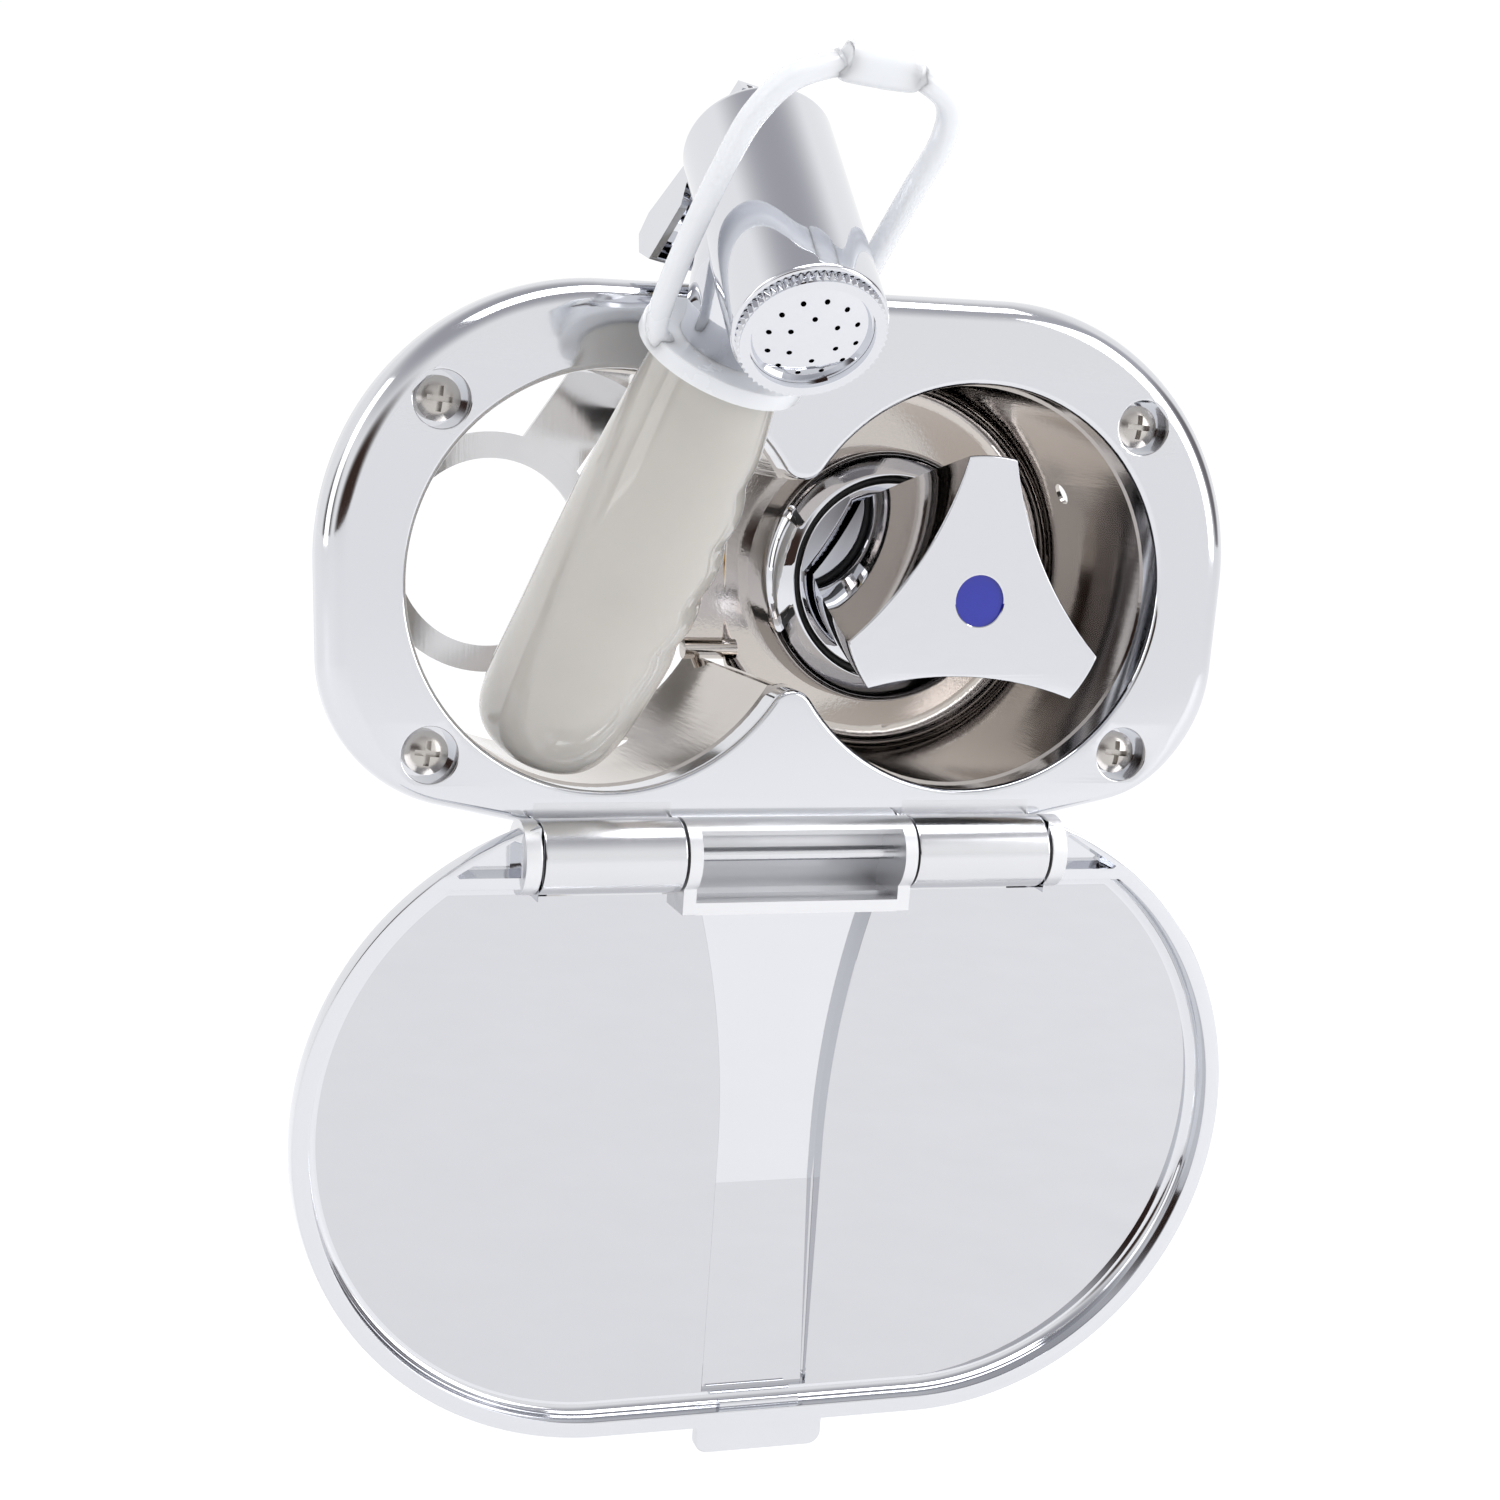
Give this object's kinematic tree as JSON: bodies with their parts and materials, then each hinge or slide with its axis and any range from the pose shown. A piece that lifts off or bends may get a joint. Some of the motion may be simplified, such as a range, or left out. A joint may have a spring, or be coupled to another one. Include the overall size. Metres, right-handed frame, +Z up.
{
  "type": "recessed deck shower box",
  "caption": "Recessed deck shower box: oval bezel with two joined round openings, drawn cup with a three-pointed tap knob, hinged lid and a hand shower leaning out of its place.",
  "frame": {"origin": "on the hull's outer face, under the gasket, midway between the four mounting screws", "axes": "+X to the right seen from the front, +Y into the hull, +Z up"},
  "size_m": [0.2172, 0.1847, 0.3045],
  "materials": {
    "polished_metal": "polished",
    "brushed_metal": "brushed",
    "chrome": "mirror bright",
    "screw_metal": "satin",
    "brass": "turned",
    "black_rubber": "matt",
    "blue_plastic": "gloss",
    "ivory_plastic": "gloss",
    "clear_plastic": "milky, half clear"
  },
  "bodies": {
    "frame": {"bezel": "polished_metal", "recess_cup": "brushed_metal", "bezel_gasket": "black_rubber", "mounting_screws": "screw_metal", "hinge_pin": "screw_metal", "handset_ring": "brushed_metal", "ring_rivets": "screw_metal", "escutcheon": "chrome", "escutcheon_seal": "black_rubber", "tap_body": "brass", "tap_locknut": "brass", "tap_headwork": "brass"},
    "lid": {"lid": "polished_metal", "lid_catch": "polished_metal"},
    "tap_handle": {"tap_spindle": "brass", "tap_knob": "chrome", "knob_screw": "screw_metal", "knob_cap": "blue_plastic"},
    "handset": {"handle_grip": "ivory_plastic", "spray_head": "chrome", "spray_nut": "chrome", "spray_plate": "chrome", "spray_seal": "black_rubber", "hang_strap": "clear_plastic", "hose_socket": "brass", "trigger_pin": "screw_metal"},
    "trigger": {"trigger": "chrome"},
    "plunger": {"valve_plunger": "brass"}
  },
  "joints": [
    {"name": "lid_hinge", "type": "hinge", "parent": "frame", "child": "lid", "pos_m": [0, -0.01555, -0.058], "axis": [-1, 0, 0], "range_deg": [0, 140]},
    {"name": "tap_turn", "type": "hinge", "parent": "frame", "child": "tap_handle", "pos_m": [0.0408, -0.0105, -0.0021], "axis": [0, -1, 0], "range_deg": [0, 90]},
    {"name": "handset_lift", "type": "slide", "parent": "frame", "child": "handset", "axis": [0.2295, -0.4727, 0.8508], "range_m": [0, 0.12]},
    {"name": "trigger_squeeze", "type": "hinge", "parent": "handset", "child": "trigger", "pos_m": [-0.02075, -0.03121, 0.09769], "axis": [-0.9733, -0.1137, 0.1994], "range_deg": [0, 5], "stiffness_Nm_per_rad": 0.4, "springref_deg": -5.73},
    {"name": "valve_push", "type": "slide", "parent": "handset", "child": "plunger", "axis": [-0.0433, -0.7621, -0.646], "range_m": [0, 0.0006]}
  ],
  "couplings": [
    {"joint": "valve_push", "follows": "trigger_squeeze", "m_per_rad": 0.005}
  ]
}
